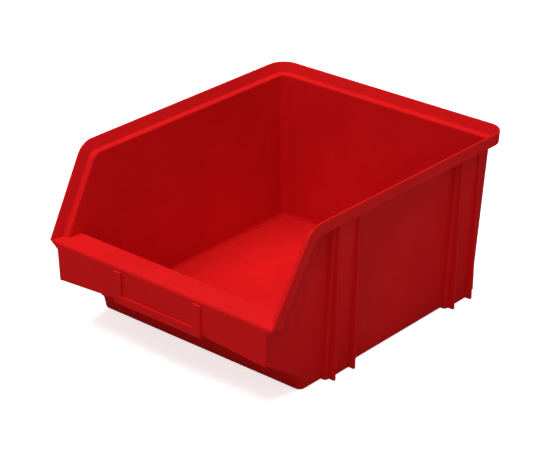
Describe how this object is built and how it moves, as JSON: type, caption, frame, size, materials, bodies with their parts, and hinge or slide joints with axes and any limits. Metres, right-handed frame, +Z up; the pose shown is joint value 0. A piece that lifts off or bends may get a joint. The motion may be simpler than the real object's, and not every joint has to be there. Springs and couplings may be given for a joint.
{
  "type": "stackable storage bin",
  "caption": "Open-front stackable storage bin in one satin plastic moulding, with a stacking rim, label frame, finger pocket and side ribs that serve as feet.",
  "frame": {"origin": "bottom centre of the overall box, on the surface the bin stands on", "axes": "+Z up, -Y towards the open front with the label frame, +Y towards the back wall, +X towards the bin's side that is on the right when the front is faced"},
  "size_m": [0.23, 0.275, 0.138],
  "materials": {
    "shell": "satin red moulded polypropylene",
    "rim": "satin red moulded polypropylene",
    "front": "satin red moulded polypropylene",
    "rib": "satin red moulded polypropylene"
  },
  "bodies": {
    "root": {"floor_panel": "shell", "back_wall": "shell", "front_kick_wall": "shell", "front_wall": "shell", "left_side_wall": "shell", "right_side_wall": "shell", "back_rim_ledge": "rim", "back_rim_upstand": "rim", "left_rim_ledge": "rim", "right_rim_ledge": "rim", "left_rim_upstand": "rim", "right_rim_upstand": "rim", "front_lip": "front", "front_apron": "front", "label_rail_bottom": "front", "label_rail_left": "front", "label_rail_right": "front", "left_front_rib_web": "rib", "left_rear_rib_web": "rib", "right_front_rib_web": "rib", "right_rear_rib_web": "rib", "left_front_rib_fore": "rib", "left_front_rib_aft": "rib", "left_rear_rib_fore": "rib", "left_rear_rib_aft": "rib", "right_front_rib_fore": "rib", "right_front_rib_aft": "rib", "right_rear_rib_fore": "rib", "right_rear_rib_aft": "rib"}
  },
  "joints": []
}
